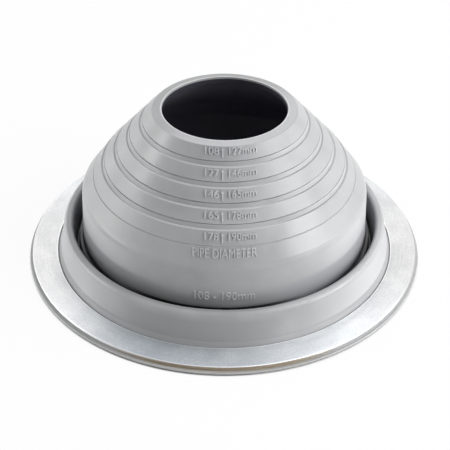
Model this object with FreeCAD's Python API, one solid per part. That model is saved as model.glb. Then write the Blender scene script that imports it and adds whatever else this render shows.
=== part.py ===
import FreeCAD, Part
import math
import os
from collections import namedtuple

# Pipe flashing: a moulded rubber boot with a stepped cone, and the flat aluminium ring bonded to its base.
# Lengths are millimetres. The axis of the pipe is Z, and the base stands on Z = 0.
# Both pieces are turned forms, so each is one half section swept round the axis.

# Lip round the opening
opening_radius = 43.1
lip_width = 6.8
lip_fall = 1.0
lip_depth = 5.0
lip_underside_fall = 2.0
lip_edge_rounding = 0.5
lip_root_rounding = 2.0

# Stepped cone, with a scored cut guide, a strip and a ledge at each step
step_count = 4
step_out = 9.15
band_fall = 7.0
guide_width = 0.6
guide_depth = 0.7
strip_height = 2.98
strip_lean = 1.15
ledge_width = 1.2
ledge_fall = 0.15
step_edge_rounding = 0.25
notch_wall = 2.6

# Plain band below the last step, ending in a scribed crease
last_band_reach = 5.9
last_band_fall = 8.5
crease_width = 0.8
crease_depth = 0.3

# Shoulder and upright wall of the bell
crease_height = 60.0
shoulder_reach = 8.6
shoulder_fall = 11.4
shoulder_bend = 8.0
wall_flare = 1.8
wall_thickness = 3.2

# Trough between the bell and the collar
trough_ledge_height = 11.2
trough_ledge_width = 2.4
trough_ledge_rounding = 0.5
trough_floor_height = 3.5
trough_width = 2.6
trough_rounding = 1.2
trough_wall_lean = 1.6
fold_thickness = 3.0
fold_rounding = 2.0

# Collar that stands up round the trough
collar_height = 23.3
rim_width = 5.9
rim_fall = 0.7
rim_inner_rounding = 2.2
rim_outer_rounding = 3.0
collar_flare = 4.1
foot_height = 3.0
foot_width = 1.9
foot_depth = 0.9
foot_rounding = 1.5
fold_apex_width = 0.8

# Aluminium ring
ring_gap = 0.5
ring_width = 18.2
ring_thickness = 1.2
ring_edge_rounding = 0.4

# Base flange under the ring, with sealing ribs on its underside
base_thickness = 4.6
neck_inset = 0.4
base_lip_reach = 2.3
base_lip_height = 2.6
base_lip_rounding = 0.8
rib_count = 3
rib_height = 0.8
rib_width = 2.4
rib_tip_width = 1.2

# A corner of a half section: distance from the axis, height, and the radius that rounds it
Corner = namedtuple("Corner", "radius height rounding", defaults=(0.0,))

# A rounding takes up at most this share of the shorter side next to its corner
rounding_share = 0.48

# Radii, from the opening outwards
lip_radius = opening_radius + lip_width
last_ledge_radius = lip_radius + step_count * step_out
crease_radius = last_ledge_radius + last_band_reach
shoulder_radius = crease_radius + shoulder_reach
wall_foot_radius = shoulder_radius + wall_flare
trough_ledge_radius = wall_foot_radius + trough_ledge_width
trough_outer_radius = trough_ledge_radius + trough_width
rim_inner_radius = trough_outer_radius + trough_wall_lean
rim_outer_radius = rim_inner_radius + rim_width
collar_foot_radius = rim_outer_radius + collar_flare
foot_radius = collar_foot_radius + foot_width
ring_inner_radius = foot_radius + ring_gap
ring_outer_radius = ring_inner_radius + ring_width
neck_radius = ring_outer_radius - neck_inset
base_radius = ring_outer_radius + base_lip_reach
base_inner_radius = collar_foot_radius - fold_thickness

# Heights, from the base upwards
ring_top = base_thickness + ring_thickness
trough_floor = ring_top + trough_floor_height
fold_underside = trough_floor - fold_thickness
trough_ledge = ring_top + trough_ledge_height
rim_top = ring_top + collar_height
fold_apex = rim_top - fold_thickness
crease = ring_top + crease_height
shoulder = crease - shoulder_fall
step_fall = band_fall + strip_height + ledge_fall
lip_edge = crease + last_band_fall + step_count * step_fall
lip_top = lip_edge + lip_fall


def moved_towards(start, goal, distance):
    """Point on the way from one corner to another, as a point of the half section."""
    run = goal.radius - start.radius
    rise = goal.height - start.height
    share = distance / math.hypot(run, rise)
    return FreeCAD.Vector(start.radius + share * run, 0, start.height + share * rise)


def rounded_corner(before, corner, after):
    """Start, middle and end of the arc that rounds a corner, all three the corner where it is sharp."""
    point = FreeCAD.Vector(corner.radius, 0, corner.height)
    heading_in = math.atan2(corner.height - before.height, corner.radius - before.radius)
    heading_out = math.atan2(after.height - corner.height, after.radius - corner.radius)
    turn = abs((heading_out - heading_in + math.pi) % (2 * math.pi) - math.pi)
    if corner.rounding == 0 or turn == 0:
        return point, point, point
    side_before = math.hypot(before.radius - corner.radius, before.height - corner.height)
    side_after = math.hypot(after.radius - corner.radius, after.height - corner.height)
    longest_setback = rounding_share * min(side_before, side_after)
    setback = min(corner.rounding * math.tan(turn / 2), longest_setback)
    rounding = setback / math.tan(turn / 2)
    start = moved_towards(corner, before, setback)
    end = moved_towards(corner, after, setback)
    inward = (start + end) * 0.5 - point
    inward.normalize()
    middle = point + inward * (rounding / math.cos(turn / 2) - rounding)
    return start, middle, end


def turned_solid(corners):
    """Solid of revolution about Z, from the corners of its half section in order."""
    arcs = []
    for index, corner in enumerate(corners):
        after = corners[(index + 1) % len(corners)]
        arcs.append(rounded_corner(corners[index - 1], corner, after))
    edges = []
    for index, (start, middle, end) in enumerate(arcs):
        if start != end:
            edges.append(Part.Arc(start, middle, end).toShape())
        next_start = arcs[(index + 1) % len(arcs)][0]
        edges.append(Part.LineSegment(end, next_start).toShape())
    section = Part.Face(Part.Wire(edges))
    return section.revolve(FreeCAD.Vector(0, 0, 0), FreeCAD.Vector(0, 0, 1), 360)


def scored_line(radius, height, slope_above, slope_below, width, depth):
    """Corners of a V cut in a falling face, from the side of the cut above to the side below."""
    half = width / 2
    return [
        Corner(radius - half * math.cos(slope_above), height + half * math.sin(slope_above)),
        Corner(radius - depth * math.sin(slope_above), height - depth * math.cos(slope_above)),
        Corner(radius + half * math.cos(slope_below), height - half * math.sin(slope_below)),
    ]


def lip():
    """Flat top of the lip, falling a little towards its outer edge."""
    return [
        Corner(opening_radius, lip_top, lip_edge_rounding),
        Corner(lip_radius, lip_edge, lip_edge_rounding),
    ]


def cone_steps():
    """Steps down the outside of the cone: a scored cut guide, a steep strip and a narrow ledge for each."""
    band_slope = math.atan2(band_fall, step_out - ledge_width - strip_lean)
    strip_slope = math.atan2(strip_height, strip_lean)
    corners = []
    for step in range(1, step_count + 1):
        ledge_radius = lip_radius + step * step_out
        ledge_edge = lip_edge - step * step_fall
        strip_radius = ledge_radius - ledge_width
        strip_foot = ledge_edge + ledge_fall
        guide_radius = strip_radius - strip_lean
        guide_height = strip_foot + strip_height
        corners += scored_line(guide_radius, guide_height, band_slope, strip_slope, guide_width, guide_depth)
        corners.append(Corner(strip_radius, strip_foot, step_edge_rounding))
        corners.append(Corner(ledge_radius, ledge_edge, step_edge_rounding))
    return corners


def bell_outside():
    """Crease below the last band, shoulder, upright wall and the ledge at its foot."""
    band_slope = math.atan2(last_band_fall, last_band_reach)
    slope = math.atan2(shoulder_fall, shoulder_reach)
    return scored_line(crease_radius, crease, band_slope, slope, crease_width, crease_depth) + [
        Corner(shoulder_radius, shoulder, shoulder_bend),
        Corner(wall_foot_radius, trough_ledge, trough_ledge_rounding),
        Corner(trough_ledge_radius, trough_ledge, trough_ledge_rounding),
    ]


def trough_and_collar():
    """Floor of the trough, rim of the collar, its flared outside and its foot."""
    return [
        Corner(trough_ledge_radius, trough_floor, trough_rounding),
        Corner(trough_outer_radius, trough_floor, trough_rounding),
        Corner(rim_inner_radius, rim_top, rim_inner_rounding),
        Corner(rim_outer_radius, rim_top - rim_fall, rim_outer_rounding),
        Corner(collar_foot_radius, ring_top + foot_height, foot_rounding),
        Corner(foot_radius, ring_top - foot_depth),
    ]


def base_flange():
    """Seat of the ring, necked edge with its lower lip, and the ribbed underside."""
    seat_width = base_radius - base_inner_radius
    rib_pitch = seat_width / rib_count
    corners = [
        Corner(foot_radius, base_thickness),
        Corner(neck_radius, base_thickness),
        Corner(neck_radius, base_lip_height),
        Corner(base_radius, base_lip_height, base_lip_rounding),
        Corner(base_radius, rib_height, base_lip_rounding),
    ]
    for rib in range(rib_count):
        rib_radius = base_radius - (rib + 0.5) * rib_pitch
        corners.append(Corner(rib_radius + rib_width / 2, rib_height))
        corners.append(Corner(rib_radius + rib_tip_width / 2, 0))
        corners.append(Corner(rib_radius - rib_tip_width / 2, 0))
        corners.append(Corner(rib_radius - rib_width / 2, rib_height))
    corners.append(Corner(base_inner_radius, rib_height))
    return corners


def fold_inside():
    """Hidden side of the collar and of the trough, a fold that is open beneath."""
    apex_middle = (rim_inner_radius + rim_outer_radius) / 2
    return [
        Corner(base_inner_radius, ring_top, fold_rounding),
        Corner(apex_middle + fold_apex_width / 2, fold_apex),
        Corner(apex_middle - fold_apex_width / 2, fold_apex),
        Corner(trough_outer_radius + fold_thickness, fold_underside, fold_rounding),
        Corner(trough_ledge_radius - wall_thickness, fold_underside, fold_rounding),
    ]


def bell_inside():
    """Inside of the wall, of the shoulder and of the cone, up to the bore of the lip."""
    ledge_inside = trough_ledge - wall_thickness
    shoulder_slope = math.atan2(shoulder_fall, shoulder_reach)
    shoulder_inside = shoulder - wall_thickness * math.tan((math.pi / 2 - shoulder_slope) / 2)
    cone_slope = math.atan2(step_fall, step_out)
    cone_inset = ledge_width + notch_wall * math.sin(cone_slope)
    cone_drop = notch_wall * math.cos(cone_slope) - ledge_fall
    last_ledge = lip_edge - step_count * step_fall
    lip_bottom = lip_top - lip_depth
    root_height = lip_bottom - lip_underside_fall
    root_radius = lip_radius - cone_inset + (lip_edge - cone_drop - root_height) / math.tan(cone_slope)
    return [
        Corner(trough_ledge_radius - wall_thickness, ledge_inside, trough_ledge_rounding),
        Corner(wall_foot_radius - wall_thickness, ledge_inside, trough_ledge_rounding),
        Corner(shoulder_radius - wall_thickness, shoulder_inside, max(shoulder_bend - wall_thickness, 0)),
        Corner(last_ledge_radius - cone_inset, last_ledge - cone_drop),
        Corner(root_radius, root_height, lip_root_rounding),
        Corner(opening_radius, lip_bottom, lip_edge_rounding),
    ]


def rubber_boot():
    """The whole moulding in one section, from the lip down to the base and back up inside."""
    outside = lip() + cone_steps() + bell_outside() + trough_and_collar()
    return turned_solid(outside + base_flange() + fold_inside() + bell_inside())


def aluminium_ring():
    """Flat ring that lies on the base flange, with its edges broken on top."""
    return turned_solid([
        Corner(ring_inner_radius, base_thickness),
        Corner(ring_outer_radius, base_thickness),
        Corner(ring_outer_radius, ring_top, ring_edge_rounding),
        Corner(ring_inner_radius, ring_top, ring_edge_rounding),
    ])


os.makedirs("parts", exist_ok=True)
for name, shape in (("rubber_boot", rubber_boot()), ("aluminium_ring", aluminium_ring())):
    shape.exportStep("parts/" + name + ".step")
    print(name, shape.isValid(), round(shape.Volume), shape.BoundBox)
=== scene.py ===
import logging
import math
from dataclasses import dataclass
from enum import Enum
from typing import NamedTuple

import bpy
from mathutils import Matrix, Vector


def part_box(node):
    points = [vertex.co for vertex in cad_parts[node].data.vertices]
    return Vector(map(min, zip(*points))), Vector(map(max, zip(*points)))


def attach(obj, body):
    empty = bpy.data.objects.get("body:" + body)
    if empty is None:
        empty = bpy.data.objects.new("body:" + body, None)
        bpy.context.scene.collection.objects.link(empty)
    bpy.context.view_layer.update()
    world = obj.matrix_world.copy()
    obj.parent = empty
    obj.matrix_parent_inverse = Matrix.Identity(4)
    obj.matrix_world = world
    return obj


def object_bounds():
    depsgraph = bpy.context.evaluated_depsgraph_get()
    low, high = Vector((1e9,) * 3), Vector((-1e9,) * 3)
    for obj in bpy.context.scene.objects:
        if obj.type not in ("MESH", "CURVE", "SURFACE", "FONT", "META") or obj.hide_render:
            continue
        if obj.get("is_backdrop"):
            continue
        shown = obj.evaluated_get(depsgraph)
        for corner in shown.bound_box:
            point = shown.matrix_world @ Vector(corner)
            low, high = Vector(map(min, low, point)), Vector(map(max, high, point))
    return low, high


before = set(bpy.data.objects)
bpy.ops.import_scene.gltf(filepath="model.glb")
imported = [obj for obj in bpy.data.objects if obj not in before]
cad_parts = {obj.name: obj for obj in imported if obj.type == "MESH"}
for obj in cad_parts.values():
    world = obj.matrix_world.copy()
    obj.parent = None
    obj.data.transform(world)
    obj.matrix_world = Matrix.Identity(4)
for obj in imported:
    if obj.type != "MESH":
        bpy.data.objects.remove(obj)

# Pipe flashing: finishes for the rubber boot and its aluminium ring, the raised size marks on the
# cone, and a studio. Lengths are metres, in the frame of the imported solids. The front, which
# carries the marks, faces -Y. Headings are degrees from the front, towards +X.

MM = 0.001
BODY = "root"
STANDING = (math.pi / 2, 0.0, 0.0)

Colour = tuple[float, float, float]
Span = tuple[float, ...]
Socket = bpy.types.NodeSocket

log = logging.getLogger("pipe_flashing")


class Slot(Enum):
    """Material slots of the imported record."""

    RUBBER = "rubber"
    ALUMINIUM = "aluminium"


def mm(*lengths: float) -> Span:
    """Turn millimetres into metres."""
    return tuple(length * MM for length in lengths)


def deselect() -> None:
    """Leave object mode's selection empty, so that an operator acts only on what is picked next."""
    bpy.ops.object.select_all(action="DESELECT")


def pick(*pieces: bpy.types.Object) -> None:
    """Select these objects alone and make the first one active.

    Args:
        pieces: the objects to select.
    """
    deselect()
    for piece in pieces:
        piece.select_set(True)
    bpy.context.view_layer.objects.active = pieces[0]


class NodeBench:
    """Places and joins the nodes of one shader tree, so that a finish reads from top to bottom."""

    def __init__(self, tree: bpy.types.NodeTree) -> None:
        """Take over a tree.

        Args:
            tree: the node tree of a material, a world or a node group.
        """
        self.tree = tree

    def node(self, kind: str, **settings: object) -> bpy.types.Node:
        """Add a node and set its own options.

        Args:
            kind: Blender's name of the node's type.
            settings: options of the node, such as operation or data_type.

        Returns:
            The new node.
        """
        made = self.tree.nodes.new(kind)
        for name, value in settings.items():
            setattr(made, name, value)
        return made

    def feed(self, target: Socket, source: "Socket | float | Colour") -> None:
        """Join a socket to an input, or set the input where the source is a plain value.

        Args:
            target: the input.
            source: a socket to join, or a number or colour to set.
        """
        if isinstance(source, bpy.types.NodeSocket):
            self.tree.links.new(source, target)
        elif isinstance(source, tuple) and target.type == "RGBA":
            target.default_value = (*source, 1.0)
        else:
            target.default_value = source

    def math(self, operation: str, *sources: "Socket | float") -> Socket:
        """Work out one number.

        Args:
            operation: name of the sum, such as MULTIPLY.
            sources: the numbers that it takes, in order.

        Returns:
            The result's socket.
        """
        made = self.node("ShaderNodeMath", operation=operation)
        for target, source in zip(made.inputs, sources):
            self.feed(target, source)
        return made.outputs[0]

    def ramp(
        self,
        value: Socket,
        low: "Socket | float",
        high: "Socket | float",
        start: float = 0.0,
        end: float = 1.0,
    ) -> Socket:
        """Spread a value smoothly from one range to another.

        Args:
            value: the value to spread.
            low: value at which the result is start.
            high: value at which the result is end.
            start: result at the low end.
            end: result at the high end.

        Returns:
            The result's socket.
        """
        made = self.node("ShaderNodeMapRange", interpolation_type="SMOOTHSTEP")
        for name, source in (
            ("Value", value),
            ("From Min", low),
            ("From Max", high),
            ("To Min", start),
            ("To Max", end),
        ):
            self.feed(made.inputs[name], source)
        return made.outputs["Result"]

    def blend(self, share: Socket, first: "Socket | Colour", second: "Socket | Colour") -> Socket:
        """Mix two colours by a mask.

        Args:
            share: mask, 0 for the first colour and 1 for the second.
            first: colour where the mask is 0.
            second: colour where the mask is 1.

        Returns:
            The mixed colour's socket.
        """
        made = self.node("ShaderNodeMix", data_type="RGBA")
        colours = [socket for socket in made.inputs if socket.type == "RGBA"]
        self.feed(made.inputs["Factor"], share)
        self.feed(colours[0], first)
        self.feed(colours[1], second)
        return next(socket for socket in made.outputs if socket.type == "RGBA")

    def noise(self, vector: Socket, scale: "Socket | float", detail: float) -> Socket:
        """Cloudy noise over a vector.

        Args:
            vector: coordinates to read.
            scale: how many waves there are to a unit of the vector.
            detail: how many finer layers are added.

        Returns:
            The noise value's socket, near 0.5 on average.
        """
        made = self.node("ShaderNodeTexNoise")
        self.feed(made.inputs["Vector"], vector)
        self.feed(made.inputs["Scale"], scale)
        self.feed(made.inputs["Detail"], detail)
        return made.outputs[0]

    def bump(self, height: Socket, depth: float, strength: float) -> Socket:
        """Fine relief of a surface.

        Args:
            height: the relief, from 0 to 1.
            depth: how deep the relief is.
            strength: how much of it shows.

        Returns:
            The socket of the bumped normal.
        """
        made = self.node("ShaderNodeBump")
        self.feed(made.inputs["Height"], height)
        self.feed(made.inputs["Distance"], depth)
        self.feed(made.inputs["Strength"], strength)
        return made.outputs["Normal"]


class Blank(NamedTuple):
    """A new material, its bench and its shader."""

    material: bpy.types.Material
    bench: NodeBench
    shader: bpy.types.Node


def blank_material(name: str) -> Blank:
    """Start a material.

    Args:
        name: the material's name.

    Returns:
        The material with a plain shader, ready for its nodes.
    """
    material = bpy.data.materials.new(name)
    material.use_nodes = True
    shader = material.node_tree.nodes["Principled BSDF"]
    return Blank(material, NodeBench(material.node_tree), shader)


class TurnedPlace(NamedTuple):
    """Place of the shaded point on a turned form: radius, height, and direction from the axis."""

    radius: Socket
    height: Socket
    turn_x: Socket
    turn_y: Socket


def turned_place(bench: NodeBench) -> TurnedPlace:
    """Find the place of the point that is shaded.

    Args:
        bench: the tree to add the nodes to.

    Returns:
        The sockets of the place.
    """
    axes = bench.node("ShaderNodeSeparateXYZ")
    bench.feed(axes.inputs[0], bench.node("ShaderNodeTexCoord").outputs["Object"])
    across = (axes.outputs["X"], axes.outputs["Y"])
    squares = (bench.math("POWER", axis, 2.0) for axis in across)
    radius = bench.math("SQRT", bench.math("ADD", *squares))
    turn_x, turn_y = (bench.math("DIVIDE", axis, radius) for axis in across)
    return TurnedPlace(radius, axes.outputs["Z"], turn_x, turn_y)


class SharedEffects:
    """Node groups that more than one finish uses, each built once."""

    cloud_detail: float = 5.0
    grain_detail: float = 2.0
    cloud_low: float = 0.3
    cloud_high: float = 0.7

    def __init__(self) -> None:
        """Build the groups."""
        self.mottle = self.mottle_group()
        self.zone = self.zone_group()

    @staticmethod
    def new_group(
        name: str, inputs: dict[str, float], outputs: tuple[str, ...]
    ) -> bpy.types.NodeTree:
        """Start a group with number sockets.

        Args:
            name: the group's name.
            inputs: names of the inputs, with their first values.
            outputs: names of the outputs.

        Returns:
            The empty group.
        """
        group = bpy.data.node_groups.new(name, "ShaderNodeTree")
        sockets = group.interface
        for label, value in inputs.items():
            socket = sockets.new_socket(label, in_out="INPUT", socket_type="NodeSocketFloat")
            socket.default_value = value
        for label in outputs:
            sockets.new_socket(label, in_out="OUTPUT", socket_type="NodeSocketFloat")
        return group

    def mottle_group(self) -> bpy.types.NodeTree:
        """Uneven tone of a worked surface: broad clouds and a fine grain.

        Returns:
            The group, with the outputs Clouds and Grain.
        """
        scales = {"Cloud Scale": 30.0, "Grain Scale": 1500.0}
        group = self.new_group("mottle", scales, ("Clouds", "Grain"))
        bench = NodeBench(group)
        given = bench.node("NodeGroupInput").outputs
        result = bench.node("NodeGroupOutput")
        place = bench.node("ShaderNodeTexCoord").outputs["Object"]
        clouds = bench.noise(place, given["Cloud Scale"], self.cloud_detail)
        grain = bench.noise(place, given["Grain Scale"], self.grain_detail)
        spread = bench.ramp(clouds, self.cloud_low, self.cloud_high)
        bench.feed(result.inputs["Clouds"], spread)
        bench.feed(result.inputs["Grain"], grain)
        return group

    def zone_group(self) -> bpy.types.NodeTree:
        """Zone of a turned form between two radii and two heights, on the whole turn or a part.

        Gone and Full are cosines of the angle from the heading. No cosine is as low as their first
        values, so that the zone then goes round the whole turn.

        Returns:
            The group, with the output Mask.
        """
        limits = {"Inner": 0.0, "Outer": 1.0, "Bottom": 0.0, "Top": 0.01}
        feathers = {"Radial Feather": 0.3 * MM, "Height Feather": 0.3 * MM}
        whole_turn = {"Heading X": 0.0, "Heading Y": -1.0, "Gone": -3.0, "Full": -2.0}
        group = self.new_group("turned_zone", limits | feathers | whole_turn, ("Mask",))
        bench = NodeBench(group)
        given = bench.node("NodeGroupInput").outputs
        result = bench.node("NodeGroupOutput")
        place = turned_place(bench)

        def beyond(value: Socket, limit: Socket, feather: Socket) -> Socket:
            """Rise from 0 to 1 over the feather, with half of it on each side of the limit."""
            over = bench.math("SUBTRACT", value, limit)
            return bench.math("ADD", bench.math("DIVIDE", over, feather), 0.5)

        least = beyond(place.radius, given["Inner"], given["Radial Feather"])
        for value, limit, feather in (
            (given["Outer"], place.radius, given["Radial Feather"]),
            (place.height, given["Bottom"], given["Height Feather"]),
            (given["Top"], place.height, given["Height Feather"]),
        ):
            least = bench.math("MINIMUM", least, beyond(value, limit, feather))
        facing_x = bench.math("MULTIPLY", place.turn_x, given["Heading X"])
        facing_y = bench.math("MULTIPLY", place.turn_y, given["Heading Y"])
        facing = bench.math("ADD", facing_x, facing_y)
        share = bench.ramp(facing, given["Gone"], given["Full"])
        mask = bench.math("MULTIPLY", bench.ramp(least, 0.0, 1.0), share)
        bench.feed(result.inputs["Mask"], mask)
        return group


class Arc(NamedTuple):
    """Part of a turn, in degrees: all there up to full_at from the heading, and gone at gone_at.

    Where gone_at is the smaller one, the part is what lies away from the heading.
    """

    heading: float
    full_at: float
    gone_at: float


@dataclass(frozen=True)
class PaintedLightZone:
    """Zone of a turned form whose colour carries painted light or shade, on the whole turn or a part
    of it.

    The feathers are the soft edges of the zone, across and up.
    """

    name: str
    tone: Colour
    radii: Span
    heights: Span
    feathers: Span = mm(0.3, 0.3)
    arc: Arc | None = None

    def over(
        self, bench: NodeBench, effects: SharedEffects, colour: "Socket | Colour"
    ) -> Socket:
        """Lay the painted light or shade over a colour.

        Args:
            bench: the material's tree.
            effects: the shared node groups.
            colour: the colour around the zone.

        Returns:
            The socket of the colour with the painted light or shade.
        """
        zone = bench.node("ShaderNodeGroup", node_tree=effects.zone, label=self.name)
        values = dict(zip(("Inner", "Outer", "Bottom", "Top"), self.radii + self.heights))
        values |= dict(zip(("Radial Feather", "Height Feather"), self.feathers))
        if self.arc:
            heading, full_at, gone_at = (math.radians(angle) for angle in self.arc)
            values |= {"Heading X": math.sin(heading), "Heading Y": -math.cos(heading)}
            values |= {"Gone": math.cos(gone_at), "Full": math.cos(full_at)}
        for name, value in values.items():
            zone.inputs[name].default_value = value
        return bench.blend(zone.outputs["Mask"], colour, self.tone)


@dataclass(frozen=True)
class RubberFinish:
    """Satin moulded rubber, with painted shade inside the bell, in the trough and on parts of the
    front, and painted light and highlights at the sides, on the lip, the base and the edges.
    """

    name: str = "moulded_rubber"
    tone: Colour = (0.335, 0.339, 0.347)
    pale_tone: Colour = (0.380, 0.384, 0.392)
    # Painted shade: the inside of the bell is darker than the outside.
    inside_shade_tone: Colour = (0.30, 0.295, 0.36)
    roughness_low: float = 0.29
    roughness_high: float = 0.37
    cloud_scale: float = 45.0
    grain_scale: float = 2200.0
    grain_depth: float = 0.05 * MM
    grain_strength: float = 0.35
    bell_radius: float = 104.0 * MM
    bore_top: float = 114.2 * MM
    inside_feather: float = 0.3 * MM
    inward_start: float = -0.25
    inward_full: float = -0.6
    upward_start: float = 0.35
    upward_full: float = 0.1
    # Painted light and shade on the outside, zone by zone.
    painted_light: tuple[PaintedLightZone, ...] = (
        # Painted light: the lip's top is paler towards the front right.
        PaintedLightZone(
            "lip_top", (0.46, 0.464, 0.474),
            mm(43.8, 49.6), mm(114.3, 120.0), mm(1.0, 1.0), Arc(35.0, 60.0, 100.0),
        ),
        # Painted highlight on the rounded inner edge of the lip, all round.
        PaintedLightZone(
            "lip_inner_edge", (0.66, 0.66, 0.67),
            mm(43.35, 44.1), mm(115.3, 120.0),
        ),
        # Painted light: the shaded groove under the ring's edge is paler all round.
        PaintedLightZone(
            "neck", (0.47, 0.474, 0.48),
            mm(138.9, 140.6), mm(2.3, 5.0),
        ),
        # Painted reflection: the groove under the ring is warm brown in front only.
        PaintedLightZone(
            "neck_front", (0.36, 0.31, 0.24),
            mm(138.9, 140.6), mm(2.3, 5.0), arc=Arc(0.0, 12.0, 36.0),
        ),
        # Painted light: the upper wall and the collar are paler away from the front.
        PaintedLightZone(
            "wall_sides", (0.47, 0.474, 0.482),
            mm(97.0, 104.0), mm(33.0, 54.0), mm(1.0, 10.0), Arc(0.0, 55.0, 15.0),
        ),
        PaintedLightZone(
            "collar_sides", (0.47, 0.474, 0.482),
            mm(111.0, 125.0), mm(6.0, 27.0), mm(1.0, 4.0), Arc(0.0, 55.0, 15.0),
        ),
        # Painted shade: the collar is darker in front.
        PaintedLightZone(
            "collar_front", (0.30, 0.303, 0.31),
            mm(114.0, 125.0), mm(4.0, 24.0), mm(1.0, 6.0), Arc(-8.0, 12.0, 30.0),
        ),
        # Painted highlight on the collar's rim at the front right.
        PaintedLightZone(
            "rim_right", (0.44, 0.444, 0.452),
            mm(111.6, 115.0), mm(25.0, 40.0), mm(1.0, 2.0), Arc(50.0, 22.0, 48.0),
        ),
        # Painted shade: the collar's rim is darker in front.
        PaintedLightZone(
            "rim_front", (0.29, 0.293, 0.30),
            mm(109.6, 113.0), mm(24.0, 40.0), mm(1.5, 4.0), Arc(-14.0, 18.0, 40.0),
        ),
        # Painted shade at the foot of the collar, away from the front.
        PaintedLightZone(
            "collar_foot_sides", (0.32, 0.323, 0.33),
            mm(117.0, 125.0), mm(4.0, 10.2), mm(1.0, 1.2), Arc(-3.0, 40.0, 12.0),
        ),
        # Painted shade: the deep trough between the wall and the collar is near black all round.
        PaintedLightZone(
            "trough", (0.06, 0.06, 0.065),
            mm(98.0, 109.6), mm(-10.0, 23.5), mm(1.6, 8.0),
        ),
        # Painted shade, lighter than the trough's, on the collar's inner face and the wall's foot at
        # the right and the left.
        PaintedLightZone(
            "collar_inside_right", (0.34, 0.343, 0.36),
            mm(104.8, 110.5), mm(14.0, 36.0), mm(1.0, 10.0), Arc(75.0, 35.0, 65.0),
        ),
        PaintedLightZone(
            "wall_foot_right", (0.34, 0.343, 0.36),
            mm(97.0, 104.8), mm(20.5, 36.0), mm(1.0, 4.0), Arc(62.0, 30.0, 50.0),
        ),
        PaintedLightZone(
            "wall_foot_left", (0.30, 0.303, 0.315),
            mm(97.0, 104.8), mm(21.0, 36.0), mm(1.0, 4.0), Arc(-57.0, 15.0, 35.0),
        ),
        PaintedLightZone(
            "collar_inside_left", (0.28, 0.283, 0.30),
            mm(104.8, 110.5), mm(14.0, 36.0), mm(1.0, 10.0), Arc(-90.0, 22.0, 45.0),
        ),
        # Painted shade: near black lines at the rim's inner edge and in the trough in front.
        PaintedLightZone(
            "rim_inner_edge_front", (0.08, 0.08, 0.085),
            mm(106.0, 110.3), mm(20.0, 31.0), mm(0.8, 1.0), Arc(-12.0, 20.0, 42.0),
        ),
        PaintedLightZone(
            "trough_line_front", (0.015, 0.015, 0.017),
            mm(99.0, 105.5), mm(-10.0, 23.7), mm(1.0, 0.8), Arc(-6.0, 15.0, 40.0),
        ),
        # Painted light: the base flange's lip is paler all round.
        PaintedLightZone(
            "base_lip", (0.42, 0.42, 0.42),
            mm(140.6, 150.0), mm(-10.0, 2.7),
        ),
        # Painted shadow: the foot of the base, where it meets the floor, is dark all round.
        PaintedLightZone(
            "base_foot", (0.12, 0.12, 0.12),
            mm(140.6, 150.0), mm(-10.0, 1.5), mm(0.3, 0.4),
        ),
    )
    # Painted shade inside the bell, darkest at the bore.
    inside_shade: tuple[PaintedLightZone, ...] = (
        PaintedLightZone(
            "bell_inside", (0.10, 0.098, 0.13),
            mm(0.0, 110.0), mm(-10.0, 90.0), mm(1.0, 30.0),
        ),
        PaintedLightZone(
            "bore_edge", (0.04, 0.039, 0.05),
            mm(0.0, 60.0), mm(110.0, 120.0), mm(1.0, 1.0),
        ),
    )

    def inside_mask(self, bench: NodeBench) -> Socket:
        """Mask of the faces that look to the axis from within the bell, below the lip's edge.

        Args:
            bench: the material's tree.

        Returns:
            The mask's socket, 1 on the inside.
        """
        source = bench.node("ShaderNodeTexCoord").outputs
        outward = bench.node("ShaderNodeVectorMath", operation="MULTIPLY")
        bench.feed(outward.inputs[0], source["Object"])
        outward.inputs[1].default_value = (1.0, 1.0, 0.0)
        unit = bench.node("ShaderNodeVectorMath", operation="NORMALIZE")
        bench.feed(unit.inputs[0], outward.outputs[0])
        lean = bench.node("ShaderNodeVectorMath", operation="DOT_PRODUCT")
        bench.feed(lean.inputs[0], unit.outputs[0])
        bench.feed(lean.inputs[1], source["Normal"])
        inward = bench.ramp(lean.outputs["Value"], self.inward_start, self.inward_full)
        place = turned_place(bench)
        soft = self.inside_feather
        within = bench.ramp(place.radius, self.bell_radius + soft, self.bell_radius - soft)
        below = bench.ramp(place.height, self.bore_top + soft, self.bore_top - soft)
        normal = bench.node("ShaderNodeSeparateXYZ")
        bench.feed(normal.inputs[0], source["Normal"])
        level = bench.ramp(normal.outputs["Z"], self.upward_start, self.upward_full)
        facing_within = bench.math("MULTIPLY", inward, within)
        return bench.math("MULTIPLY", facing_within, bench.math("MULTIPLY", below, level))

    def material(self, effects: SharedEffects) -> bpy.types.Material:
        """Build the material.

        Args:
            effects: the shared node groups.

        Returns:
            The rubber material.
        """
        material, bench, shader = blank_material(self.name)
        mottle = bench.node("ShaderNodeGroup", node_tree=effects.mottle)
        mottle.inputs["Cloud Scale"].default_value = self.cloud_scale
        mottle.inputs["Grain Scale"].default_value = self.grain_scale
        clouds = mottle.outputs["Clouds"]
        outside = bench.blend(clouds, self.tone, self.pale_tone)
        for painted_zone in self.painted_light:
            outside = painted_zone.over(bench, effects, outside)
        # Painted shade on the inside of the bell.
        inside = self.inside_shade_tone
        for painted_zone in self.inside_shade:
            inside = painted_zone.over(bench, effects, inside)
        colour = bench.blend(self.inside_mask(bench), outside, inside)
        roughness = bench.ramp(clouds, 0.0, 1.0, self.roughness_low, self.roughness_high)
        normal = bench.bump(mottle.outputs["Grain"], self.grain_depth, self.grain_strength)
        bench.feed(shader.inputs["Base Color"], colour)
        bench.feed(shader.inputs["Roughness"], roughness)
        bench.feed(shader.inputs["Normal"], normal)
        return material


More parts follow.
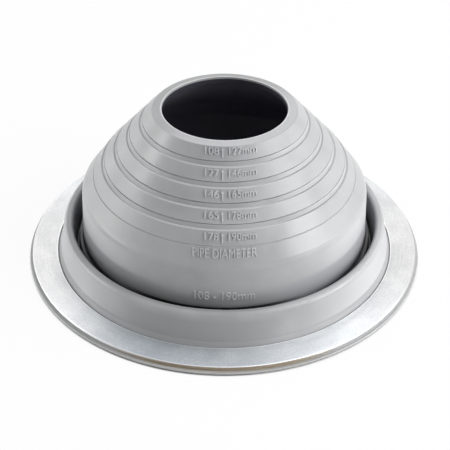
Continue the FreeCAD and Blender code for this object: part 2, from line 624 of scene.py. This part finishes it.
@dataclass(frozen=True)
class AluminiumFinish:
    """Mill aluminium, brushed in fine circles, with painted highlights on the rims and a painted
    brown reflection on the cut edge in front.
    """

    name: str = "brushed_aluminium"
    tone: Colour = (0.73, 0.73, 0.73)
    worn_tone: Colour = (0.65, 0.655, 0.66)
    wear_low: float = 0.25
    wear_high: float = 0.75
    grain_tone: Colour = (0.45, 0.455, 0.47)
    grain_share: float = 0.4
    grain_low: float = 0.4
    grain_high: float = 0.75
    cloud_scale: float = 55.0
    grain_scale: float = 900.0
    # Painted highlights on the rims and a painted reflection on the cut edge in front; the outer rim
    # keeps a plain tone away from the front.
    edges: tuple[PaintedLightZone, ...] = (
        # Painted highlight on the inner rim, all round.
        PaintedLightZone(
            "inner_rim", (0.95, 0.95, 0.95),
            mm(120.0, 122.5), mm(0.0, 10.0),
        ),
        PaintedLightZone(
            "outer_rim", (0.74, 0.74, 0.74),
            mm(139.3, 150.0), mm(0.0, 10.0),
        ),
        # Painted highlight on the outer rim in front.
        PaintedLightZone(
            "outer_rim_front", (0.95, 0.95, 0.95),
            mm(139.3, 150.0), mm(0.0, 10.0), arc=Arc(0.0, 12.0, 32.0),
        ),
        # Painted reflection: the cut edge is warm brown in front only.
        PaintedLightZone(
            "cut_edge_front", (0.40, 0.33, 0.26),
            mm(139.65, 150.0), mm(0.0, 5.5), mm(0.3, 0.15), Arc(0.0, 12.0, 36.0),
        ),
    )
    roughness_low: float = 0.40
    roughness_high: float = 0.50
    anisotropy: float = 0.85
    quarter_turn: float = 0.25
    streaks_across: float = 800.0
    streaks_along: float = 6.0
    streak_detail: float = 4.0
    streak_low: float = 0.3
    streak_high: float = 0.7
    streak_depth: float = 0.02 * MM
    streak_strength: float = 0.3

    def streaks(self, bench: NodeBench) -> Socket:
        """Fine circular brush marks, with no seam where the turn closes.

        Args:
            bench: the material's tree.

        Returns:
            The socket of the marks' height.
        """
        place = turned_place(bench)
        polar = bench.node("ShaderNodeCombineXYZ")
        for axis, value, scale in (
            ("X", place.radius, self.streaks_across),
            ("Y", place.turn_x, self.streaks_along),
            ("Z", place.turn_y, self.streaks_along),
        ):
            bench.feed(polar.inputs[axis], bench.math("MULTIPLY", value, scale))
        return bench.noise(polar.outputs[0], 1.0, self.streak_detail)

    def material(self, effects: SharedEffects) -> bpy.types.Material:
        """Build the material.

        Args:
            effects: the shared node groups.

        Returns:
            The aluminium material.
        """
        material, bench, shader = blank_material(self.name)
        shader.inputs["Metallic"].default_value = 1.0
        shader.inputs["Anisotropic"].default_value = self.anisotropy
        shader.inputs["Anisotropic Rotation"].default_value = self.quarter_turn
        tangent = bench.node("ShaderNodeTangent", direction_type="RADIAL", axis="Z")
        bench.feed(shader.inputs["Tangent"], tangent.outputs[0])
        mottle = bench.node("ShaderNodeGroup", node_tree=effects.mottle)
        mottle.inputs["Cloud Scale"].default_value = self.cloud_scale
        mottle.inputs["Grain Scale"].default_value = self.grain_scale
        streaks = self.streaks(bench)
        both = bench.math("ADD", streaks, mottle.outputs["Clouds"])
        wear = bench.ramp(bench.math("MULTIPLY", both, 0.5), self.wear_low, self.wear_high)
        colour = bench.blend(wear, self.tone, self.worn_tone)
        grain = bench.ramp(
            mottle.outputs["Grain"], self.grain_low, self.grain_high, 0.0, self.grain_share
        )
        colour = bench.blend(grain, colour, self.grain_tone)
        for painted_zone in self.edges:
            colour = painted_zone.over(bench, effects, colour)
        roughness = bench.ramp(
            streaks, self.streak_low, self.streak_high, self.roughness_low, self.roughness_high
        )
        normal = bench.bump(streaks, self.streak_depth, self.streak_strength)
        bench.feed(shader.inputs["Base Color"], colour)
        bench.feed(shader.inputs["Roughness"], roughness)
        bench.feed(shader.inputs["Normal"], normal)
        return material


@dataclass(frozen=True)
class Words:
    """One run of figures or letters in a mark, between two places across the front."""

    text: str
    left: float
    right: float


@dataclass
class RaisedMark:
    """Figures and letters that stand proud of the boot's front, in one row that follows the turn."""

    name: str
    words: tuple[Words, ...]
    bottom: float
    top: float
    arrow_place: float | None = None
    proud: float = 0.65 * MM
    sunk: float = 0.15 * MM
    arrow_width: float = 2.3 * MM
    shaft_width: float = 0.75 * MM
    arrow_drop: float = 0.35
    arrow_head: float = 0.4
    start: float = -0.2
    curve_steps: int = 3
    reach: float = 0.01 * MM
    shortest_edge: float = 0.001 * MM
    merge_distance: float = 0.002 * MM

    def letters(self, words: Words) -> bpy.types.Object:
        """Flat letters that stand in front of the boot and fill their place.

        Args:
            words: the text, and where it begins and ends.

        Returns:
            The mesh of the letters.
        """
        deselect()
        bpy.ops.object.text_add(rotation=STANDING)
        piece = bpy.context.object
        piece.data.body = words.text
        piece.data.resolution_u = self.curve_steps
        bpy.ops.object.convert(target="MESH")
        bpy.ops.object.transform_apply(location=True, rotation=True, scale=True)
        corners = [Vector(corner) for corner in piece.bound_box]
        low = Vector(map(min, *corners))
        high = Vector(map(max, *corners))
        across = (words.right - words.left) / (high.x - low.x)
        up = (self.top - self.bottom) / (high.z - low.z)
        piece.scale = (across, 1.0, up)
        piece.location = (words.left - across * low.x, self.start, self.bottom - up * low.z)
        bpy.ops.object.transform_apply(location=True, rotation=True, scale=True)
        return piece

    def arrow(self) -> bpy.types.Object:
        """Flat arrow that points up the cone, drawn out of a plane by its top edge.

        Returns:
            The mesh of the arrow.
        """
        height = self.top - self.bottom
        foot = self.bottom - self.arrow_drop * height
        neck = self.top - self.arrow_head * height
        deselect()
        bpy.ops.mesh.primitive_plane_add(size=1.0, rotation=STANDING)
        piece = bpy.context.object
        piece.scale = (self.shaft_width, neck - foot, 1.0)
        piece.location = (self.arrow_place, self.start, (neck + foot) / 2)
        bpy.ops.object.transform_apply(location=True, rotation=True, scale=True)
        bpy.ops.object.mode_set(mode="EDIT")
        bpy.ops.mesh.select_mode(type="EDGE")
        bpy.ops.mesh.select_all(action="DESELECT")
        bpy.ops.object.mode_set(mode="OBJECT")
        points = piece.data.vertices
        for edge in piece.data.edges:
            edge.select = all(points[end].co.z > neck - self.reach for end in edge.vertices)
        bpy.ops.object.mode_set(mode="EDIT")
        bpy.ops.mesh.extrude_region_move()
        bpy.ops.transform.resize(
            value=(self.arrow_width / self.shaft_width, 1.0, 1.0),
            center_override=(self.arrow_place, self.start, neck),
        )
        point_up = {"value": (0.0, 0.0, self.top - neck)}
        bpy.ops.mesh.extrude_region_move(TRANSFORM_OT_translate=point_up)
        bpy.ops.mesh.merge(type="CENTER")
        bpy.ops.mesh.select_all(action="SELECT")
        bpy.ops.mesh.dissolve_degenerate(threshold=self.shortest_edge)
        bpy.ops.object.mode_set(mode="OBJECT")
        return piece

    def press_on(self, piece: bpy.types.Object, carrier: bpy.types.Object) -> None:
        """Lay the flat mark on the carrier's front and give it its relief.

        Args:
            piece: the flat mark, in front of the carrier.
            carrier: the solid that the mark is moulded on.
        """
        pick(piece)
        wrap = piece.modifiers.new("lay_on", "SHRINKWRAP")
        wrap.target = carrier
        wrap.wrap_method = "PROJECT"
        wrap.use_project_y = True
        wrap.use_negative_direction = False
        wrap.use_positive_direction = True
        bpy.ops.object.modifier_apply(modifier=wrap.name)
        relief = piece.modifiers.new("relief", "SOLIDIFY")
        relief.thickness = self.proud + self.sunk
        relief.offset = (self.proud - self.sunk) / relief.thickness
        bpy.ops.object.modifier_apply(modifier=relief.name)

    def build(self, carrier: bpy.types.Object) -> bpy.types.Object:
        """Make the whole mark as one piece.

        Args:
            carrier: the solid that the mark is moulded on.

        Returns:
            The finished piece, with its place in its mesh.
        """
        parts = [self.letters(words) for words in self.words]
        if self.arrow_place is not None:
            parts.append(self.arrow())
        pick(*parts)
        if len(parts) > 1:
            bpy.ops.object.join()
        piece = parts[0]
        piece.name = self.name
        piece.data.name = self.name
        bpy.ops.object.mode_set(mode="EDIT")
        bpy.ops.mesh.select_all(action="SELECT")
        bpy.ops.mesh.remove_doubles(threshold=self.merge_distance)
        bpy.ops.mesh.select_all(action="DESELECT")
        bpy.ops.object.mode_set(mode="OBJECT")
        for face in piece.data.polygons:
            face.select = face.normal.y > 0.0
        bpy.ops.object.mode_set(mode="EDIT")
        bpy.ops.mesh.select_mode(type="FACE")
        bpy.ops.mesh.flip_normals()
        bpy.ops.object.mode_set(mode="OBJECT")
        self.press_on(piece, carrier)
        return piece


@dataclass
class RubberBoot:
    """The moulded boot: its finish, and the size marks at its front."""

    node: str = "rubber_boot"
    lip_edge: float = 114.82 * MM
    lip_radius: float = 49.9 * MM
    step_fall: float = 10.13 * MM
    step_out: float = 9.15 * MM
    ledge_width: float = 1.2 * MM
    ledge_fall: float = 0.15 * MM
    strip_height: float = 2.98 * MM
    strip_lean: float = 1.15 * MM
    strip_overlap: float = 0.1 * MM
    # Painted light at the sides: the strips and the cut guides are paler, so that their shade does
    # not show.
    strip_tone: Colour = (0.40, 0.404, 0.414)
    guide_width: float = 0.7 * MM
    guide_height: float = 0.9 * MM
    guide_feathers: Span = mm(0.1, 0.1)
    guide_tone: Colour = (0.46, 0.464, 0.474)
    step_light_margin: float = 0.3 * MM
    ledge_highlight_arc: Arc = Arc(-15.0, 30.0, 58.0)
    flank_light_arc: Arc = Arc(-10.0, 62.0, 40.0)
    band_slope: float = math.atan2(7.0, 6.8)
    last_band_slope: float = math.atan2(8.5, 5.9)
    crease: float = 65.8 * MM
    shoulder_slope: float = math.atan2(11.4, 8.6)
    figure_height: float = 5.0 * MM
    lip_margin: float = 0.7 * MM
    step_margin: float = 1.4 * MM
    caption: str = "PIPE DIAMETER"
    caption_height: float = 5.9 * MM
    caption_margin: float = 1.4 * MM
    caption_proud: float = 0.5 * MM
    range_height: float = 6.3 * MM
    range_middle: float = 33.0 * MM
    range_proud: float = 0.4 * MM
    pipe_sizes: tuple[int, ...] = (108, 127, 146, 165, 178, 190)
    from_left: float = -12.6 * MM
    from_right: float = -3.5 * MM
    arrow_place: float = -1.2 * MM
    to_left: float = 2.8 * MM
    to_right: float = 20.6 * MM
    caption_left: float = -20.2 * MM
    caption_right: float = 21.2 * MM
    range_left: float = -19.3 * MM
    range_right: float = 20.3 * MM

    def painted_step_light(self, tone: Colour) -> tuple[PaintedLightZone, ...]:
        """Painted light on the steps: painted highlights on the ledges in front, and paler strips
        and cut guides at the sides that take out their shade.

        Args:
            tone: the painted highlight of the ledges.

        Returns:
            Three painted zones for each step, from the lip down.
        """
        soft = self.step_light_margin
        painted_light = []
        for step in range(1, len(self.pipe_sizes) - 1):
            edge = self.lip_radius + step * self.step_out
            level = self.lip_edge - step * self.step_fall
            foot = edge - self.ledge_width
            guide = foot - self.strip_lean
            head = level + self.ledge_fall + self.strip_height
            ledge = PaintedLightZone(
                f"ledge_{step}",
                tone,
                radii=(foot, edge + soft),
                heights=(level - soft, level + soft),
                arc=self.ledge_highlight_arc,
            )
            strip = PaintedLightZone(
                f"strip_{step}",
                self.strip_tone,
                radii=(guide, foot + self.strip_overlap),
                heights=(level + soft, head),
                arc=self.flank_light_arc,
            )
            score = PaintedLightZone(
                f"cut_guide_{step}",
                self.guide_tone,
                radii=(guide - self.guide_width, guide + soft),
                heights=(head - self.guide_height, head + soft),
                feathers=self.guide_feathers,
                arc=self.flank_light_arc,
            )
            painted_light += [ledge, strip, score]
        return tuple(painted_light)

    def size_marks(self) -> list[RaisedMark]:
        """Smallest and largest pipe of each step, the caption, and the whole range on the wall.

        Returns:
            The marks, from the lip down.
        """
        marks = []
        for step, (smaller, larger) in enumerate(zip(self.pipe_sizes, self.pipe_sizes[1:])):
            last = step == len(self.pipe_sizes) - 2
            slope = self.last_band_slope if last else self.band_slope
            margin = self.step_margin if step else self.lip_margin
            top = self.lip_edge - step * self.step_fall - margin * math.sin(slope)
            bottom = top - self.figure_height * math.sin(slope)
            words = (
                Words(f"{smaller}", self.from_left, self.from_right),
                Words(f"{larger}mm", self.to_left, self.to_right),
            )
            name = f"size_mark_{step + 1}"
            marks.append(RaisedMark(name, words, bottom, top, self.arrow_place))
        top = self.crease - self.caption_margin * math.sin(self.shoulder_slope)
        bottom = top - self.caption_height * math.sin(self.shoulder_slope)
        words = (Words(self.caption, self.caption_left, self.caption_right),)
        marks.append(RaisedMark("caption_mark", words, bottom, top, proud=self.caption_proud))
        bottom = self.range_middle - self.range_height / 2
        top = self.range_middle + self.range_height / 2
        whole_range = f"{self.pipe_sizes[0]} - {self.pipe_sizes[-1]}mm"
        words = (Words(whole_range, self.range_left, self.range_right),)
        marks.append(RaisedMark("range_mark", words, bottom, top, proud=self.range_proud))
        return marks

    def dress(self, material: bpy.types.Material, mark_material: bpy.types.Material) -> None:
        """Give the boot its finish and mould its marks on it.

        Args:
            material: the rubber of the boot.
            mark_material: the same rubber, painted paler on the raised marks as a painted highlight.
        """
        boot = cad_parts[self.node]
        boot.material_slots[0].material = material
        log.info("%s dressed", self.node)
        for mark in self.size_marks():
            piece = mark.build(boot)
            piece.data.materials.append(mark_material)
            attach(piece, BODY)
            log.info("%s built, %d faces", piece.name, len(piece.data.polygons))


@dataclass
class AluminiumRing:
    """The flat ring bonded to the base flange."""

    node: str = "aluminium_ring"

    def dress(self, material: bpy.types.Material) -> None:
        """Give the ring its finish.

        Args:
            material: the aluminium.
        """
        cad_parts[self.node].material_slots[0].material = material
        log.info("%s dressed", self.node)


@dataclass(frozen=True)
class Softbox:
    """Square area lamp that points at the middle of the flashing; angles are degrees."""

    name: str
    azimuth: float
    elevation: float
    power: float
    size: float = 0.8
    distance: float = 1.5

    def place(self, target: Vector) -> bpy.types.Object:
        """Hang the lamp.

        Args:
            target: the point that it faces.

        Returns:
            The lamp.
        """
        around = math.radians(self.azimuth)
        above = math.radians(self.elevation)
        level = math.cos(above)
        direction = Vector((level * math.sin(around), -level * math.cos(around), math.sin(above)))
        deselect()
        bpy.ops.object.light_add(type="AREA", location=target + self.distance * direction)
        lamp = bpy.context.object
        lamp.name = self.name
        lamp.rotation_euler = direction.to_track_quat("Z", "Y").to_euler()
        lamp.data.shape = "SQUARE"
        lamp.data.size = self.size
        lamp.data.energy = self.power
        lamp.visible_camera = False
        return lamp


@dataclass(frozen=True)
class PhotoCamera:
    """Camera where the photograph was taken from, with the photograph's own aim."""

    name: str = "photo_camera"
    distance: float = 819.5 * MM
    elevation: float = math.radians(36.33)
    tilt: float = math.radians(0.62)
    pan: float = math.radians(0.04)
    roll: float = math.radians(0.28)
    lens: float = 88.7
    sensor: float = 36.0

    def place(self, target: Vector) -> None:
        """Set the camera up and make it the scene's.

        Args:
            target: the point that the distance and elevation are measured from.
        """
        data = bpy.data.cameras.new(self.name)
        data.sensor_fit = "HORIZONTAL"
        data.sensor_width = self.sensor
        data.lens = self.lens
        camera = bpy.data.objects.new(self.name, data)
        bpy.context.scene.collection.objects.link(camera)
        back = self.distance * math.cos(self.elevation)
        up = self.distance * math.sin(self.elevation)
        camera.location = target + Vector((0.0, -back, up))
        camera.rotation_mode = "ZYX"
        pitch = math.pi / 2 - self.elevation + self.tilt
        camera.rotation_euler = (pitch, -self.pan, self.roll)
        bpy.context.scene.camera = camera


GLEAM_SIZE = 0.35


@dataclass
class Studio:
    """White floor, soft lamps, a room with a cool ceiling around them, and the camera."""

    floor_size: float = 40.0
    floor_tone: Colour = (0.88, 0.88, 0.88)
    floor_glow: float = 0.91
    shade_radius: float = 141.4 * MM
    shade_feather: float = 1.5 * MM
    paper_start: float = 0.45
    paper_end: float = 1.2
    paper_tone: Colour = (1.0, 1.0, 1.0)
    paper_top: float = 0.1
    paper_full: float = 0.05
    wall_tone: Colour = (0.60, 0.58, 0.56)
    ceiling_tone: Colour = (0.43, 0.515, 0.60)
    ceiling_start: float = 0.6
    ceiling_full: float = 0.8
    room_light: Colour = (0.0, 0.0, 0.0)
    lamps: tuple[Softbox, ...] = (
        Softbox("softbox_left_floor", azimuth=-90.0, elevation=4.0, power=8.6),
        Softbox("softbox_left_front_low", azimuth=-70.0, elevation=12.0, power=1.3),
        Softbox("softbox_left_front", azimuth=-70.0, elevation=32.0, power=1.2),
        Softbox("softbox_left_low", azimuth=-95.0, elevation=12.0, power=0.9),
        Softbox("softbox_left_rear_low", azimuth=-120.0, elevation=12.0, power=4.3),
        Softbox("softbox_rear_left_low", azimuth=-145.0, elevation=12.0, power=1.4),
        Softbox("gleam_left", azimuth=-99.0, elevation=31.0, power=4.1, size=GLEAM_SIZE),
        Softbox("softbox_front_low", azimuth=30.0, elevation=12.0, power=1.7),
        Softbox("softbox_right_floor", azimuth=90.0, elevation=4.0, power=1.2),
        Softbox("softbox_right_low", azimuth=70.0, elevation=12.0, power=7.7),
        Softbox("softbox_right", azimuth=70.0, elevation=32.0, power=10.9),
        Softbox("gleam_right_front", azimuth=60.0, elevation=31.0, power=1.2, size=GLEAM_SIZE),
        Softbox("gleam_right", azimuth=80.0, elevation=31.0, power=1.2, size=GLEAM_SIZE),
        Softbox("softbox_right_rear_low", azimuth=110.0, elevation=12.0, power=2.1),
        Softbox("softbox_right_rear", azimuth=110.0, elevation=32.0, power=4.8),
        Softbox("softbox_rear_right_low", azimuth=145.0, elevation=12.0, power=1.3),
        Softbox("softbox_rear", azimuth=180.0, elevation=35.0, power=2.4),
        Softbox("softbox_right_over", azimuth=45.0, elevation=58.0, power=3.8),
        Softbox("softbox_rear_over", azimuth=180.0, elevation=58.0, power=2.3),
        Softbox("softbox_top", azimuth=0.0, elevation=80.0, power=1.4),
    )
    camera: PhotoCamera = PhotoCamera()

    @staticmethod
    def seen(bench: NodeBench) -> Socket:
        """Mask of the rays that see a surface, straight, in metal or through glass.

        Args:
            bench: the tree to add the nodes to.

        Returns:
            The mask's socket, 1 for such rays.
        """
        path = bench.node("ShaderNodeLightPath").outputs
        straight_or_metal = bench.math("MAXIMUM", path["Is Camera Ray"], path["Is Glossy Ray"])
        return bench.math("MAXIMUM", straight_or_metal, path["Is Transmission Ray"])

    def floor_material(self) -> bpy.types.Material:
        """White paper that shows white to the eye and to metal, and keeps a soft shadow.

        Returns:
            The floor's material.
        """
        material, bench, shader = blank_material("white_floor")
        shader.inputs["Base Color"].default_value = (*self.floor_tone, 1.0)
        shader.inputs["Roughness"].default_value = 1.0
        shader.inputs["Specular IOR Level"].default_value = 0.0
        glow = bench.node("ShaderNodeEmission")
        mix = bench.node("ShaderNodeMixShader")
        radius = turned_place(bench).radius
        shade_end = self.shade_radius + self.shade_feather
        clear = bench.ramp(radius, self.shade_radius, shade_end)
        share = bench.ramp(radius, self.paper_start, self.paper_end, self.floor_glow, 1.0)
        glowing = bench.math("MULTIPLY", self.seen(bench), bench.math("MULTIPLY", clear, share))
        bench.feed(mix.inputs[0], glowing)
        bench.feed(mix.inputs[1], shader.outputs[0])
        bench.feed(mix.inputs[2], glow.outputs[0])
        output = material.node_tree.nodes["Material Output"]
        bench.feed(output.inputs["Surface"], mix.outputs[0])
        return material

    def lay_floor(self, height: float) -> None:
        """Lay the floor.

        Args:
            height: level of the floor.
        """
        deselect()
        bpy.ops.mesh.primitive_plane_add(size=self.floor_size, location=(0.0, 0.0, height))
        floor = bpy.context.object
        floor.name = "floor"
        floor.data.materials.append(self.floor_material())
        floor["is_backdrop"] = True

    def fill_room(self) -> None:
        """Give the room white paper at the horizon, walls and a cool ceiling.

        They show to the eye and in shiny surfaces, and add no light of their own.
        """
        world = bpy.data.worlds.new("studio_room")
        world.use_nodes = True
        bench = NodeBench(world.node_tree)
        background = world.node_tree.nodes["Background"]
        heading = bench.node("ShaderNodeSeparateXYZ")
        bench.feed(heading.inputs[0], bench.node("ShaderNodeTexCoord").outputs["Generated"])
        height = heading.outputs["Z"]
        overhead = bench.ramp(height, self.ceiling_start, self.ceiling_full)
        upper = bench.blend(overhead, self.wall_tone, self.ceiling_tone)
        horizon = bench.ramp(height, self.paper_top, self.paper_full)
        room = bench.blend(horizon, upper, self.paper_tone)
        colour = bench.blend(self.seen(bench), self.room_light, room)
        bench.feed(background.inputs["Color"], colour)
        bpy.context.scene.world = world

    def build(self, low: Vector, high: Vector) -> None:
        """Set the studio up around the flashing.

        Args:
            low: lowest corner of the solids.
            high: highest corner of the solids.
        """
        self.lay_floor(low.z)
        self.fill_room()
        middle = (low + high) / 2
        for lamp in self.lamps:
            lamp.place(middle)
        _, ring_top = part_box("aluminium_ring")
        self.camera.place(Vector((0.0, 0.0, ring_top.z)))
        bpy.context.scene.view_settings.view_transform = "Standard"
        log.info("studio set up with %d lamps", len(self.lamps))


def main() -> None:
    """Build the looks, then the studio."""
    logging.basicConfig(level=logging.INFO, format="%(name)s: %(message)s")
    cad_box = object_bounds()
    effects = SharedEffects()
    boot = RubberBoot()
    # Painted highlight: a paler copy of the rubber for the raised marks; its tone also paints the
    # ledges' highlights.
    highlit = RubberFinish(
        "highlit_rubber", tone=(0.49, 0.495, 0.505), pale_tone=(0.54, 0.545, 0.555), painted_light=()
    )
    plain = RubberFinish(painted_light=RubberFinish.painted_light + boot.painted_step_light(highlit.tone))
    boot.dress(plain.material(effects), highlit.material(effects))
    AluminiumRing().dress(AluminiumFinish().material(effects))
    Studio().build(*cad_box)


if __name__ == "__main__":
    main()
